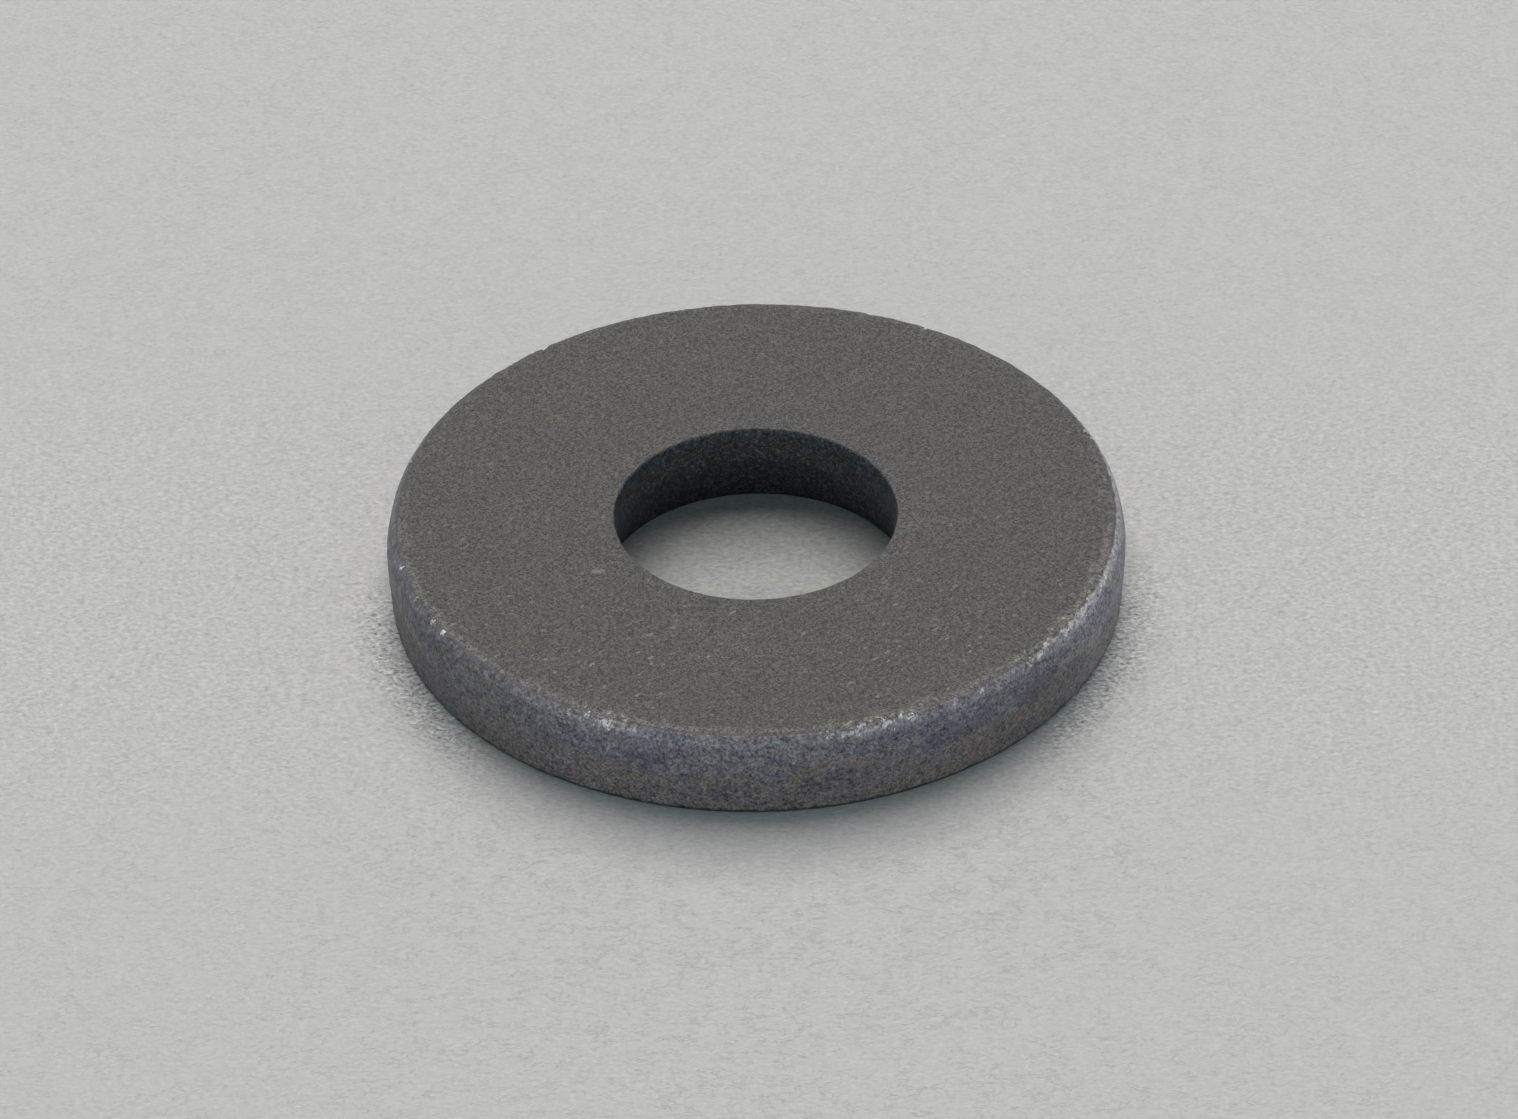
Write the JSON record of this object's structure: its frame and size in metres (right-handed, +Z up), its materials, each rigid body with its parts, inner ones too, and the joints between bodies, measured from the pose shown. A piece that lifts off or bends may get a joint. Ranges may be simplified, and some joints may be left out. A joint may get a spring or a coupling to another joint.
{
  "type": "flat washer",
  "caption": "Thick round flat washer of blackened steel with a plain centre hole, rolled top edges and sheared side walls.",
  "frame": {"origin": "middle of the hole at the bottom face, the face with the broken edges, on which the washer lies", "axes": "+Z up through the hole to the face with the rolled edges; X and Y lie in the bottom face and are equivalent"},
  "size_m": [0.04, 0.04, 0.005],
  "materials": {
    "blackened_steel": "satin"
  },
  "bodies": {
    "root": {"washer": "blackened_steel"}
  },
  "joints": []
}
